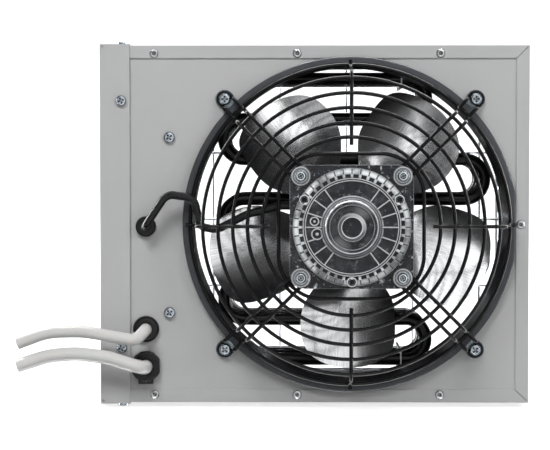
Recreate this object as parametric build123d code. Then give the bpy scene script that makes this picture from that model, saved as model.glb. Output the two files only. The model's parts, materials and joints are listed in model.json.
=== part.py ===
"""Fan-cooled liquid radiator: a sheet-metal box holding a three-row serpentine tube coil, an axial fan on a
wire guard, a connection compartment with two headers, and two flexible coolant hoses.

Units are millimetres.  X is to the right seen from the fan side, +Y runs from the fan to the air outlet and
+Z is up.  The origin is on the fan axis, in the outlet face of the housing, which is the mounting face.
"""

from build123d import *
from math import cos, radians, sin, sqrt
import os

# ---------------------------------------------------------------- driving dimensions
WIDTH = 300.0  # housing, over the side cover
HEIGHT = 250.0
DEPTH = 110.0
FAN_OFFSET = 25.0  # fan axis to the right of the housing's middle
SHEET = 1.0
FLANGE = 9.0  # fan-side return flange
OUTLET_FLANGE = 12.0
COVER_STRIP = 21.0
GAP = 0.1  # assembly gap between neighbouring sheet parts

X_LEFT = -WIDTH / 2 - FAN_OFFSET
X_RIGHT = WIDTH / 2 - FAN_OFFSET
Z_TOP = HEIGHT / 2
Y_FLANGE = -DEPTH  # outer face of the fan-side flange
Y_PANEL = Y_FLANGE + SHEET  # front face of the fan panel
Y_PANEL_BACK = Y_PANEL + SHEET
X_STRIP = X_LEFT + COVER_STRIP

PARTITION_X = -120.0
PARTITION_TAB = 10.0

# fasteners and openings in the fan panel, as (x, z)
RIVETS_TOP = [(-137.0, 119.5), (-37.0, 119.5), (63.0, 119.5)]
RIVETS_BOTTOM = [(x, -z) for x, z in RIVETS_TOP]
PANEL_RIVETS = RIVETS_TOP + RIVETS_BOTTOM + [(119.3, 0.0)]
COVER_SCREWS = [(-160.0, 86.5), (-160.0, -86.5)]
PARTITION_SCREWS = [(-126.5, 61.0), (-126.5, -62.0)]
CABLE_HOLE = (-143.0, -1.5)
RETURN_HOLE = (-143.0, -73.5)
SUPPLY_HOLE = (-143.0, -99.5)
M4_HOLE = 2.2
RIVET_SHANK = 1.6
RIVET_HOLE = 1.7
CABLE_HOLE_R = 5.0
RETURN_HOLE_R = 7.0
SUPPLY_HOLE_R = 8.0
COVER_SIDE_SCREW_Y = Y_FLANGE + 9.0

# fan ring and guard; heights are measured outwards from the front of the panel
PANEL_OPENING = 112.2
THROAT_R = 110.5
THROAT_END = Y_PANEL + 37.5
LIP_R = 117.0
LIP_HEIGHT = 7.0
LIP_FLAT_IN = 113.2  # inner edge of the lip's flat band
LIP_TRIM_X = 114.3
WIRE = 1.3  # guard wire radius
WELD = 0.35  # how far crossing guard wires sink into each other
RING_RADII = [61.0, 70.9, 81.0, 91.1, 101.5]
RING_HEIGHT = 34.0
INNER_FRAME = 49.6
INNER_FRAME_CORNER = 30.0
OUTER_RING_R = 111.3
OUTER_RING_HEIGHT = LIP_HEIGHT + WIRE + 0.1
STRUT_HEIGHT = RING_HEIGHT + 2 * WIRE - WELD
OVER_LIP = OUTER_RING_HEIGHT + 2 * WIRE - WELD  # height of the struts where they cross the outer ring
STRUT_GAP = 4.65  # half the distance between the two wires of a strut
LUG_SCREW = 87.5  # guard screws on a 175 mm square
WASHER_TOP = 0.85  # height of the washers that lie between the panel and the guard's loops
DIAGONALS = [45, 135, 225, 315]
CROSSES = [0, 90, 180, 270]

# motor
MOTOR_SIDE = 84.0
MOTOR_SCREW = 34.5
MOTOR_BACK = 5.0  # height of the rear face over the panel
JOINT_LOW = 33.4  # the guard wires are clamped between these heights
JOINT_HIGH = 37.8
FACE = 49.0  # height of the cover's ribbed face
HUB_TOP = FACE + 4.4
POST_HOLE = 1.9
SHAFT_R = 4.0
BEARING_OUT = 8.0
BEARING_WIDTH = 8.0
FRONT_BEARING = 38.5  # inner end height of each sleeve bearing
REAR_BEARING = 6.0
SHAFT_PLAY = 0.03
STATOR_OUT = 37.0
STATOR_IN = 23.6
STATOR_LOW = 15.0
STATOR_HIGH = 31.0
SLOTS = 12
TEETH = 40
POST_R = 3.0
COVER_SCREW_R = 37.0
COVER_SCREW_ANGLES = [30, 150, 270]

# fan wheel
BLADE_TIP = 102.0
BLADES = 5
BLADE_SHEET = 1.5
WHEEL_PLANE = -17.0  # height of the blade plane, behind the panel's front
HUB_R = 13.0
WHEEL_DISC_R = 33.0
BLADE_ANGLES = [270 + 360 / BLADES * i for i in range(BLADES)]

# coil
TUBE_R = 4.4
TUBE_BORE = 3.4
PASSES = 8
PASS_PITCH = 29.0
PASS_TOP = 103.5
PASS_BOTTOM = PASS_TOP - (PASSES - 1) * PASS_PITCH
ROWS_Y = [-64.0, -41.0, -18.0]
BEND_LEFT = -75.5
BEND_RIGHT = 83.7
BEND_SHORT = 41.7  # the first and last right-hand bends stop short
TUBE_END = -135.0
HANGER_X = [-80.0, 38.0]

# headers and hoses
HEADER_X = -143.0
HEADER_R = 9.0
HEADER_WALL = 1.5
HEADER_Y = (-72.0, -10.0)
RETURN_HOSE_R = 4.2
SUPPLY_HOSE_R = 4.7  # the lower hose is the thicker one
HOSE_BORE = 2.9
BARB_R = 2.85
HOSE_START = -78.0
BARB_TIP = -92.0
SUPPLY_STANDOFF = 19.0  # height of each hose over the panel, outside
RETURN_STANDOFF = 18.0
RISER_BACK = -64.0  # the riser runs up here, and steps forward to enter the top header
RISER_FRONT = -86.0

# outlet guard and mounting holes
GRID_PITCH = 50.0
GRID_WIRE = 0.9
GRID_FRAME_WIRE = 1.25
GRID_FRAME = (115.5, 115.0)
GRID_Y = -4.4
MOUNT_X = 100.0
MOUNT_Z = 120.0
MOUNT_HOLE = 2.25
CLIP_X = 75.0


# ---------------------------------------------------------------- helpers
def facing(y):
    """Sketch plane whose x and y are the model's X and Z, and whose normal points at the fan side."""
    return Plane(origin=(0, y, 0), x_dir=(1, 0, 0), z_dir=(0, -1, 0))


def slab(sketch, y_front, y_back):
    return extrude(facing(y_back) * sketch, y_back - y_front)


def block(x0, x1, y0, y1, z0, z1):
    size = (x1 - x0, y1 - y0, z1 - z0)
    return Pos((x0 + x1) / 2, (y0 + y1) / 2, (z0 + z1) / 2) * Box(*size)


def rod(x, z, y0, y1, r):
    return slab(Pos(x, z) * Circle(r), y0, y1)


def rods(places, y0, y1, r):
    """Separate parallel cylinders, as a list."""
    return [rod(x, z, y0, y1, r) for x, z in places]


def height(h):
    """Y of a height over the panel's front face."""
    return Y_PANEL - h


def turned(points):
    """Solid of revolution about the fan axis from (radius, height) corners."""
    outline = Polyline(*[(r, height(h)) for r, h in points], close=True)
    return revolve(make_face(outline), Axis.Y)


def ring(r_in, r_out, h0, h1):
    return turned([(r_in, h0), (r_out, h0), (r_out, h1), (r_in, h1)])


def disc(r, h0, h1):
    return rod(0, 0, height(h1), height(h0), r)


def wire_ring(r, h):
    return revolve(Pos(r, height(h)) * Circle(WIRE), Axis.Y)


def radial_plane(angle, side=0.0):
    """Plane through the fan axis at an angle: x is the radius and y the height over the panel."""
    a = radians(angle)
    out = Vector(cos(a), 0, sin(a))
    normal = Vector(sin(a), 0, -cos(a))
    return Plane(origin=Vector(0, Y_PANEL, 0) + normal * side, x_dir=out, z_dir=normal)


def tube_along(path, r):
    section = Plane(origin=path @ 0, z_dir=path % 0) * Circle(r)
    return sweep(section, path=path)


def route(points, radii):
    """Path of straight runs joined by arcs of the given bend radii."""
    return Wire(FilletPolyline(*points, radius=radii).edges())


def four_corners(x, z):
    return [(sx * x, sz * z) for sx in (1, -1) for sz in (1, -1)]


def polar(r, angle):
    return (r * cos(radians(angle)), r * sin(radians(angle)))


def looking(x, y, z, direction=(0, -1, 0)):
    """Frame for a fastener: its local Z points along direction, out of the face it sits on."""
    side = (1, 0, 0)
    return Plane(origin=(x, y, z), x_dir=side, z_dir=direction)


def save(node, *solids):
    flat = [s for item in solids for s in (item if isinstance(item, list) else [item])]
    shape = flat[0] if len(flat) == 1 else Compound(children=flat)
    export_step(shape, f"parts/{node}.step")


# ---------------------------------------------------------------- fasteners
def pan_screw(head_r, head_h, shank_r, length, turn=0.0):
    """Cross-recess pan-head screw, seated at local Z = 0 with its shank downwards."""
    head = fillet(Cylinder(head_r, head_h, align=(Align.CENTER, Align.CENTER, Align.MIN)).edges().sort_by(
        Axis.Z)[-1], head_h * 0.55)
    shank = Cylinder(shank_r, length, align=(Align.CENTER, Align.CENTER, Align.MAX))
    slot = Pos(0, 0, head_h) * Box(head_r * 1.15, head_r * 0.3, head_h * 1.6)
    cross = Rot(0, 0, turn) * (slot + Rot(0, 0, 90) * slot)
    return head + shank - cross


def washer(r_in, r_out, thickness):
    hoop = Cylinder(r_out, thickness, align=(Align.CENTER, Align.CENTER, Align.MIN))
    return hoop - Cylinder(r_in, thickness * 3)


def hex_nut(flats_r, bore_r, thickness):
    body = extrude(RegularPolygon(flats_r, 6, major_radius=False), thickness)
    return body - Cylinder(bore_r, thickness * 3)


def pop_rivet(grip):
    """Blind rivet seated at local Z = 0: a domed ring head, a shank and the set bulb behind the sheets."""
    head = [(0, -1.6), (1.2, -1.6), (1.2, 0.7), (1.8, 1.05), (2.4, 0.9), (3.1, 0.25), (3.1, 0)]
    tail = [(RIVET_SHANK, 0), (RIVET_SHANK, -grip), (2.3, -grip - 0.8), (2.0, -grip - 2.2), (0, -grip - 2.2)]
    outline = Polyline(*head, *tail, close=True)
    return revolve(make_face(Plane.XZ * outline), Axis.Z)


# ---------------------------------------------------------------- housing
def housing_shell():
    x0 = X_LEFT + SHEET + GAP
    wall = Z_TOP - SHEET
    shell = block(x0, X_RIGHT, Y_FLANGE, 0, wall, Z_TOP)
    shell += block(x0, X_RIGHT, Y_FLANGE, 0, -Z_TOP, -wall)
    shell += block(X_RIGHT - SHEET, X_RIGHT, Y_FLANGE, 0, -Z_TOP, Z_TOP)
    for sign in (1, -1):
        low, high = sorted((sign * (Z_TOP - FLANGE), sign * Z_TOP))
        shell += block(x0, X_RIGHT, Y_FLANGE, Y_PANEL, low, high)
        low, high = sorted((sign * (Z_TOP - OUTLET_FLANGE), sign * Z_TOP))
        shell += block(X_STRIP + GAP, X_RIGHT, -SHEET, 0, low, high)
    shell += block(X_RIGHT - FLANGE, X_RIGHT, Y_FLANGE, Y_PANEL, -Z_TOP, Z_TOP)
    shell += block(X_RIGHT - OUTLET_FLANGE, X_RIGHT, -SHEET, 0, -Z_TOP, Z_TOP)
    # room for the side cover's rear strip, and the mitred corners of the fan-side flange
    shell -= block(x0 - 1, X_STRIP + GAP, -SHEET - GAP, 1, -Z_TOP, Z_TOP)
    for sign in (1, -1):
        middle = (X_RIGHT - FLANGE / 2 - 1.2, sign * (Z_TOP - FLANGE / 2 - 1.2))
        cut = Pos(*middle) * Rot(0, 0, sign * 45) * Rectangle(FLANGE * sqrt(2), 0.35)
        shell -= slab(cut, Y_FLANGE - 1, Y_PANEL)
    holes = rods(PANEL_RIVETS, Y_FLANGE - 1, Y_PANEL + 1, RIVET_HOLE)
    holes += rods(four_corners(MOUNT_X, MOUNT_Z), -3, 1, MOUNT_HOLE)
    for x in HANGER_X:
        holes.append(Pos(x + 7, ROWS_Y[1], 0) * Cylinder(RIVET_HOLE, HEIGHT + 10))
    holes.append(Pos(COVER_SCREWS[0][0], COVER_SIDE_SCREW_Y, 0) * Cylinder(M4_HOLE, HEIGHT + 10))
    return shell - holes


def fan_panel():
    edge = SHEET + 0.3
    plate = block(X_LEFT + edge, X_RIGHT - edge, Y_PANEL, Y_PANEL_BACK, -Z_TOP + edge, Z_TOP - edge)
    lugs = four_corners(LUG_SCREW, LUG_SCREW)
    y0, y1 = Y_PANEL - 1, Y_PANEL_BACK + 1
    holes = [rod(0, 0, y0, y1, PANEL_OPENING)]
    holes += rods(PANEL_RIVETS, y0, y1, RIVET_HOLE)
    holes += rods(COVER_SCREWS + PARTITION_SCREWS + lugs, y0, y1, M4_HOLE)
    holes.append(rod(*CABLE_HOLE, y0, y1, CABLE_HOLE_R))
    holes.append(rod(*RETURN_HOLE, y0, y1, RETURN_HOLE_R))
    holes.append(rod(*SUPPLY_HOLE, y0, y1, SUPPLY_HOLE_R))
    return plate - holes


def side_cover():
    y0 = Y_FLANGE - SHEET
    z1 = Z_TOP + SHEET
    cover = block(X_LEFT, X_LEFT + SHEET, y0, 0, -z1, z1)
    cover += block(X_LEFT, X_STRIP, y0, Y_FLANGE, -z1, z1)
    cover += block(X_LEFT, X_STRIP, -SHEET, 0, -z1, z1)
    cover += block(X_LEFT, X_STRIP, y0, 0, Z_TOP, z1)
    cover += block(X_LEFT, X_STRIP, y0, 0, -z1, -Z_TOP)
    outside = cover.edges().filter_by(Axis.Z).group_by(Axis.X)[0].group_by(Axis.Y)
    cover = fillet(outside[0] + outside[-1], 0.8)
    cover -= rods(COVER_SCREWS, y0 - 1, Y_FLANGE + 1, M4_HOLE)
    reliefs = [(X_LEFT + 1.9, sz * (z1 - 1.9)) for sz in (1, -1)]
    cover -= rods(reliefs, y0 - 1, Y_FLANGE, 0.9)
    cover -= Pos(COVER_SCREWS[0][0], COVER_SIDE_SCREW_Y, 0) * Cylinder(M4_HOLE, HEIGHT + 10)
    inlet = Plane(origin=(X_LEFT, INLET_YZ[0], INLET_YZ[1]), x_dir=(0, 1, 0), z_dir=(-1, 0, 0))
    return cover - extrude(inlet * Circle(INLET_R), 5, both=True)


def partition_plate():
    z = Z_TOP - SHEET - GAP
    y0 = Y_PANEL_BACK + GAP / 2
    y1 = -SHEET - GAP / 2
    x1 = PARTITION_X + SHEET
    plate = block(PARTITION_X, x1, y0, y1, -z, z)
    plate += block(PARTITION_X - PARTITION_TAB, x1, y0, y0 + SHEET, -z + 10, z - 10)
    plate += block(X_STRIP + GAP, x1, y1 - SHEET, y1, -z, z)
    plate -= rods(PARTITION_SCREWS, y0 - 1, y0 + 2, M4_HOLE)
    # the outer passes of each row go through to the headers
    for y in ROWS_Y:
        for z_pass in (PASS_TOP, PASS_BOTTOM):
            centre = Plane(origin=(PARTITION_X, y, z_pass), x_dir=(0, 1, 0), z_dir=(1, 0, 0))
            plate -= extrude(centre * Circle(TUBE_R + 0.2), 4, both=True)
    return plate


# ---------------------------------------------------------------- coil and plumbing
def coil_path(y):
    """Centre line of one serpentine row, from the upper left end to the lower left end."""
    half = PASS_PITCH / 2
    edges = []
    x = TUBE_END
    for i in range(PASSES):
        z = PASS_TOP - i * PASS_PITCH
        going_right = i % 2 == 0
        if going_right:
            x_next = BEND_SHORT if i in (0, PASSES - 2) else BEND_RIGHT
        else:
            x_next = BEND_LEFT if i < PASSES - 1 else TUBE_END
        edges.append(Line((x, y, z), (x_next, y, z)))
        if i < PASSES - 1:
            bulge = half if going_right else -half
            middle = (x_next + bulge, y, z - half)
            edges.append(ThreePointArc((x_next, y, z), middle, (x_next, y, z - PASS_PITCH)))
        x = x_next
    return Wire(edges)


def coil_row(y):
    path = coil_path(y)
    return tube_along(path, TUBE_R) - tube_along(path, TUBE_BORE)


def header(z, port_r, port_tip):
    """Closed tube along Y that joins the three rows, with a stub for the hose or the riser."""
    y0, y1 = HEADER_Y
    body = rod(HEADER_X, z, y0, y1, HEADER_R)
    body -= rod(HEADER_X, z, y0 + HEADER_WALL, y1 - HEADER_WALL, HEADER_R - HEADER_WALL)
    body += rod(HEADER_X, z, port_tip, y0 + HEADER_WALL / 2, port_r)
    body -= rod(HEADER_X, z, port_tip - 1, y0 + HEADER_WALL + 1, port_r - 1.0)
    for y in ROWS_Y:
        hole = Plane(origin=(HEADER_X + 4, y, z), x_dir=(0, 1, 0), z_dir=(1, 0, 0))
        body -= extrude(hole * Circle(TUBE_R + 0.06), 8)
    return body


def riser_pipe():
    """Copper pipe from the upper hose up to the top header, with a barb at its lower end."""
    x, z_low = RETURN_HOLE
    corners = [(x, HOSE_START + 1, z_low), (x, RISER_BACK, z_low), (x, RISER_BACK, 52),
               (x, RISER_FRONT, 80), (x, RISER_FRONT, PASS_TOP), (x, HEADER_Y[0] - 2, PASS_TOP)]
    path = route(corners, 6)
    pipe = tube_along(path, 3.6)
    barb = rod(x, z_low, BARB_TIP, HOSE_START + 2, BARB_R)
    bore = tube_along(path, 1.9) + rod(x, z_low, BARB_TIP - 1, HOSE_START + 2, 1.9)
    return pipe + barb - bore


def hose(corners, radii, outer):
    """White coolant hose: from its barb, out through the panel, then curving to the left."""
    path = route(corners, radii)
    return tube_along(path, outer) - tube_along(path, HOSE_BORE)


def supply_hose():
    x, z = SUPPLY_HOLE
    out_y = height(SUPPLY_STANDOFF)
    corners = [(x, HOSE_START, z), (x, out_y, z), (-168, out_y, -91.6), (-190, out_y, -88.9),
               (-209, out_y, -90.4), (-231, out_y, -97.4)]
    return hose(corners, [9, 50, 60, 60], SUPPLY_HOSE_R)


def return_hose():
    x, z = RETURN_HOLE
    out_y = height(RETURN_STANDOFF)
    turn_y = height(RETURN_STANDOFF - 3.5)
    corners = [(x, HOSE_START, z), (x, turn_y, z), (-149.0, out_y, -80.0), (-185, out_y, -73.6),
               (-210, out_y, -74.0), (-231, out_y, -82.0)]
    return hose(corners, [5.2, 8, 60, 50], RETURN_HOSE_R)


def hose_clamp(hole, hose_r):
    """Spring band round the hose on its barb, with two squeeze ears."""
    x, z = hole
    y0, y1 = HOSE_START - 9.0, HOSE_START - 3.0
    band = rod(x, z, y0, y1, hose_r + 0.9) - rod(x, z, y0 - 1, y1 + 1, hose_r + 0.05)
    for dx in (-1.6, 0.8):
        band += block(x + dx, x + dx + 0.8, y0 + 1, y1 - 1, z + hose_r + 0.5, z + hose_r + 5)
    return band - block(x - 0.8, x + 0.8, y0 - 1, y1 + 1, z + hose_r - 1, z + hose_r + 8)


def coil_hanger(x, sign):
    """Folded strip between the outer pass of the coil and the housing wall."""
    wall = Z_TOP - SHEET - GAP / 2
    pass_z = PASS_TOP if sign > 0 else PASS_BOTTOM
    y0, y1 = ROWS_Y[0] - 6, ROWS_Y[-1] + 6
    low, high = sorted((pass_z - sign * 7, sign * wall))
    strip = block(x - SHEET / 2, x + SHEET / 2, y0, y1, low, high)
    low, high = sorted((sign * (wall - SHEET), sign * wall))
    strip += block(x - SHEET / 2, x + 14, y0, y1, low, high)
    for y in ROWS_Y:
        hole = Plane(origin=(x, y, pass_z), x_dir=(0, 1, 0), z_dir=(1, 0, 0))
        strip -= extrude(hole * Circle(TUBE_R + 0.15), 3, both=True)
    return strip - Pos(x + 7, ROWS_Y[1], sign * wall) * Cylinder(RIVET_HOLE, 6)


# ---------------------------------------------------------------- glands and wiring
INLET_R = 8.0
INLET_YZ = (-55.0, 40.0)
CABLE_R = 2.8
CABLE_ENTRY = (-37.0, 12.5, 13.5)  # x, height over the panel, z


def grommet(hole, hole_r, out_r, bore, dome):
    """Rubber grommet: domed outside collar, neck through the panel and inner collar."""
    x, z = hole
    collar = rod(x, z, Y_PANEL - dome, Y_PANEL, out_r)
    collar = fillet(collar.edges().group_by(Axis.Y)[0], dome * 0.6)
    body = collar + rod(x, z, Y_PANEL - 0.5, Y_PANEL_BACK + 0.5, hole_r - 0.1)
    body += rod(x, z, Y_PANEL_BACK + 0.05, Y_PANEL_BACK + 3, out_r - 1.0)
    return body - rod(x, z, Y_PANEL - 20, Y_PANEL_BACK + 20, bore)


def supply_gland():
    """Strain-relief gland: a collar with two flats, a raised rim and the wedge's tab below."""
    x, z = SUPPLY_HOLE
    y_out = Y_PANEL - 5.5
    collar = rod(x, z, y_out, Y_PANEL, 10.6) & block(x - 9.6, x + 9.6, y_out - 1, Y_PANEL + 1, z - 20, z + 20)
    collar = fillet(collar.edges().group_by(Axis.Y)[0], 0.9)
    rim = rod(x, z, y_out - 1.6, y_out, 7.9) - rod(x, z, y_out - 3, y_out + 1, 6.6)
    tab = block(x - 5.2, x + 5.2, Y_PANEL - 4.0, Y_PANEL, z - 12.4, z - 9)
    neck = rod(x, z, Y_PANEL - 1, Y_PANEL_BACK + 7, SUPPLY_HOLE_R - 0.1)
    return collar + rim + tab + neck - rod(x, z, y_out - 9, Y_PANEL_BACK + 20, SUPPLY_HOSE_R + 0.06)


def gland_nut():
    x, z = SUPPLY_HOLE
    nut = hex_nut(10.5, SUPPLY_HOLE_R, 4)
    return looking(x, Y_PANEL_BACK + 4.05, z) * nut


def motor_cable():
    """Black cable from the terminal block, out through its grommet, over the fan ring and in to the motor."""
    x, z = CABLE_HOLE
    entry_x, entry_h, entry_z = CABLE_ENTRY
    inside = [(-127, -52, 29.8), (-127, -52, 9), (x, -86, z)]
    outside = [(x, 13, z), (-127.5, 15, 21.5), (-108.5, 16, 19), (-104.0, 15.5, -1), (-92.5, 17, -3),
               (-72, 15, 7.5), (entry_x - 12, entry_h, entry_z), (entry_x - 1, entry_h, entry_z)]
    corners = inside + [(cx, height(h), cz) for cx, h, cz in outside]
    return tube_along(route(corners, [6, 8, 5, 9, 8, 5.5, 12, 30, 20]), CABLE_R)


def terminal_block():
    body = block(-132.6, PARTITION_X - GAP, -58, -26, 30, 50)
    for i in range(3):
        y = -52.0 + i * 10
        body -= Pos(-132.6, y, 44) * Rot(0, 90, 0) * Cylinder(2.2, 6)
        body -= block(-134, -129, y - 2.5, y + 2.5, 28, 33)
    return body


def power_inlet():
    """Round low-voltage socket in the left wall of the side cover."""
    y, z = INLET_YZ
    out = Plane(origin=(X_LEFT, y, z), x_dir=(0, 1, 0), z_dir=(-1, 0, 0))
    collar = extrude(out * Circle(10), 2.0)
    body = extrude(out * Circle(INLET_R - 0.1), -14)
    bore = extrude(out * Circle(4.2), 3) + extrude(out * Circle(4.2), -9)
    pin = extrude(out * Circle(1.2), -9.5)
    return collar + body - bore + pin


def power_inlet_nut():
    y, z = INLET_YZ
    frame = Plane(origin=(X_LEFT + SHEET + 0.05, y, z), x_dir=(0, 1, 0), z_dir=(1, 0, 0))
    return frame * hex_nut(10, INLET_R, 3)


def inlet_wires():
    wires = []
    for dy in (-3.0, 3.0):
        start = Vector(X_LEFT + 14.2, INLET_YZ[0] + dy, INLET_YZ[1])
        end = Vector(-133.0, -42.0 + 3.3 * dy, 31.0)
        path = Spline([start, start + Vector(8, 0, -2), end + Vector(-7, 0, -5), end],
                      tangents=[(1, 0, 0), (1, 0, 0.4)])
        wires.append(tube_along(Wire([path]), 0.9))
    return wires


# ---------------------------------------------------------------- fan ring and guard
def fan_ring():
    """Moulded inlet ring: a rounded lip outside the panel and a plain throat inside."""
    throat_out = THROAT_R + 1.2
    h_in = Y_PANEL - THROAT_END
    # the lip's back face stands off the panel by the flange's thickness, which it overlaps above and below
    step = SHEET + GAP / 2
    back = Polyline((throat_out, height(0)), (114.8, height(0)), (114.8, height(step)), (LIP_R, height(step)),
                    (LIP_R, height(LIP_HEIGHT - 1.6)))
    shoulder = ThreePointArc((LIP_R, height(LIP_HEIGHT - 1.6)), (LIP_R - 0.25, height(LIP_HEIGHT - 0.9)),
                             (LIP_R - 0.9, height(LIP_HEIGHT - 0.5)))
    band = Line((LIP_R - 0.9, height(LIP_HEIGHT - 0.5)), (LIP_FLAT_IN, height(LIP_HEIGHT)))
    bell = ThreePointArc((LIP_FLAT_IN, height(LIP_HEIGHT)), (THROAT_R + 0.7, height(LIP_HEIGHT - 1.2)),
                         (THROAT_R, height(LIP_HEIGHT - 3.6)))
    inside = Polyline((THROAT_R, height(LIP_HEIGHT - 3.6)), (THROAT_R, height(h_in)),
                      (throat_out, height(h_in)), (throat_out, height(0)))
    outline = [*back.edges(), *shoulder.edges(), *band.edges(), *bell.edges(), *inside.edges()]
    section = make_face(Wire(outline))
    body = revolve(section, Axis.Y)
    return body - block(LIP_TRIM_X, LIP_TRIM_X + 20, height(20), Y_PANEL + 1, -60, 60)


def guard_strut(angle):
    """One wire bent into a hairpin: in along the diagonal to the motor, and round the panel screw outside."""
    screw_r = LUG_SCREW * sqrt(2)
    on_panel = WASHER_TOP + GAP / 2 + WIRE
    drop_r = LIP_R + 2.7
    corners = [(43.5, STRUT_HEIGHT), (105.4, STRUT_HEIGHT), (109.0, OVER_LIP), (drop_r, OVER_LIP),
               (drop_r, on_panel), (screw_r, on_panel)]
    sides = (-STRUT_GAP, STRUT_GAP)
    legs = [radial_plane(angle, side) * FilletPolyline(*corners, radius=2.6) for side in sides]
    middle = radial_plane(angle).from_local_coords(Vector(screw_r + STRUT_GAP, on_panel, 0))
    hoop = ThreePointArc(legs[0] @ 1, middle, legs[1] @ 1)
    hairpin = Wire([*legs[0].edges(), *hoop.edges(), *legs[1].edges()])
    x, z = polar(MOTOR_SCREW * sqrt(2), angle)
    plate = slab(Pos(x, z) * Rot(0, 0, angle) * RectangleRounded(13.5, 11.8, 2.5), height(35.5), height(33.8))
    plate -= rod(x, z, height(50), height(20), M4_HOLE)
    return [tube_along(hairpin, WIRE), plate]


def fan_guard():
    guard = wire_ring(OUTER_RING_R, OUTER_RING_HEIGHT)
    for r in RING_RADII:
        guard += wire_ring(r, RING_HEIGHT)
    square = RectangleRounded(2 * INNER_FRAME, 2 * INNER_FRAME, INNER_FRAME_CORNER)
    guard += tube_along((facing(height(RING_HEIGHT)) * square).wire(), WIRE)
    for angle in DIAGONALS:
        for piece in guard_strut(angle):
            guard += piece
    for angle in CROSSES:
        corners = [(55.5, STRUT_HEIGHT), (105.6, STRUT_HEIGHT), (109.6, OVER_LIP), (114.6, OVER_LIP)]
        path = radial_plane(angle) * FilletPolyline(*corners, radius=2.6)
        guard += tube_along(Wire(path.edges()), WIRE)
    return guard


# ---------------------------------------------------------------- motor
def corner_places():
    return four_corners(MOTOR_SCREW, MOTOR_SCREW)


def cover_post_places():
    return [polar(COVER_SCREW_R, angle) for angle in COVER_SCREW_ANGLES]


def motor_front_cover():
    """Clear moulded cover with a ribbed face, a ring of small windows and four corner bosses."""
    low, rim = JOINT_HIGH, 43.5
    square = RectangleRounded(MOTOR_SIDE, MOTOR_SIDE, 11)
    cover = slab(square, height(rim), height(low)) + disc(40.0, low, FACE)
    cavity = disc(37.6, low - 1, rim + 3.0)
    pocket = slab(RectangleRounded(MOTOR_SIDE - 4, MOTOR_SIDE - 4, 9), height(rim - 2), height(low - 1))
    towers = [rod(x, z, height(rim), height(low), 5.6) for x, z in corner_places()]
    pocket = pocket - towers
    cover = cover - cavity - pocket
    for x, z in corner_places():
        cover += rod(x, z, height(46.0), height(rim - 1), 6.6)
    # face relief: two thin hoops inside the window ring, the hub with its centre boss, and the spokes
    for r in (31.2, 32.6):
        cover += ring(r, r + 0.6, FACE - 1, FACE + 0.9)
    cover += turned([(0, FACE - 1), (21, FACE - 1), (21, FACE + 0.3), (17.7, HUB_TOP), (15, HUB_TOP),
                     (15, HUB_TOP - 0.9), (0, HUB_TOP - 0.9)])
    cover += ring(6.9, 9.4, HUB_TOP - 1.5, HUB_TOP + 1.4)
    cover -= disc(6.9, HUB_TOP - 2.2, HUB_TOP + 3)
    for angle in range(-54, 235, 18):
        if 54 < angle < 126:
            continue
        spoke = Pos(*polar(26, angle)) * Rot(0, 0, angle) * Rectangle(11.0, 0.8)
        cover += slab(spoke, height(FACE + 0.9), height(FACE - 0.5))
    for angle, r, out_r in ((171, 25.6, 3.2), (191, 23.9, 4.0)):
        x, z = polar(r, angle)
        cover += rod(x, z, height(FACE + 1.1), height(FACE - 0.5), out_r)
        cover -= rod(x, z, height(FACE + 3), height(FACE + 0.2), out_r - 0.8)
        cover += rod(x, z, height(FACE + 1.1), height(FACE - 0.5), out_r * 0.25)
    # each tooth of the louvre band has a window inside it and a groove on either side
    cuts = []
    for i in range(TEETH):
        at_window = 360 / TEETH * (i + 0.5)
        window = Pos(*polar(34.6, at_window)) * Rot(0, 0, at_window) * Rectangle(2.6, 3.6)
        cuts.append(slab(window, height(FACE + 2), height(FACE - 1.6)))
        at_groove = 360 / TEETH * i
        groove = Pos(*polar(37.9, at_groove)) * Rot(0, 0, at_groove) * Rectangle(3.4, 0.9)
        cuts.append(slab(groove, height(FACE + 2), height(FACE - 0.7)))
    cover -= cuts
    for x, z in cover_post_places():
        cover += rod(x, z, height(FACE + 0.9), height(low), 3.4)
    for x, z in cover_post_places():
        cover -= rod(x, z, height(FACE + 3), height(low - 2), 1.55)
        cover -= rod(x, z, height(FACE + 3), height(FACE - 3.0), POST_HOLE)
    # bearing seat under the nose
    cover += ring(BEARING_OUT + 0.02, 10.5, FRONT_BEARING, FACE - 1)
    for x, z in corner_places():
        cover -= rod(x, z, height(60), height(20), M4_HOLE)
    return cover


def motor_rear_housing():
    """Die-cast rear half: a drum with four corner lugs and the rear bearing seat."""
    body = disc(40.5, MOTOR_BACK, JOINT_LOW)
    lugs = slab(RectangleRounded(MOTOR_SIDE, MOTOR_SIDE, 11), height(JOINT_LOW), height(JOINT_LOW - 6))
    for angle in range(0, 360, 90):
        x, z = polar(45.0, angle)
        lugs -= slab(Pos(x, z) * Rot(0, 0, angle) * Rectangle(9.6, 52), height(60), height(0))
    body += lugs
    body -= disc(37.2, MOTOR_BACK + 2.5, JOINT_LOW + 1)
    body += ring(BEARING_OUT, 10.5, MOTOR_BACK, REAR_BEARING + BEARING_WIDTH)
    body -= disc(BEARING_OUT + 0.02, REAR_BEARING, JOINT_LOW + 1)
    body -= disc(6.0, MOTOR_BACK - 1, REAR_BEARING + 1)
    body -= rods(corner_places(), height(60), height(-5), M4_HOLE)
    # cable entry in the left side
    entry = Plane(origin=(CABLE_ENTRY[0], height(CABLE_ENTRY[1]), CABLE_ENTRY[2]), x_dir=(0, 1, 0),
                  z_dir=(-1, 0, 0))
    body -= extrude(entry * Circle(CABLE_R + 0.4), 9, both=True)
    # the three cover screws bite into posts cast in the wall
    for x, z in cover_post_places():
        body += rod(x, z, height(JOINT_LOW), height(MOTOR_BACK + 1), POST_R)
    return body - rods(cover_post_places(), height(60), height(20), 1.55)


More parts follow.
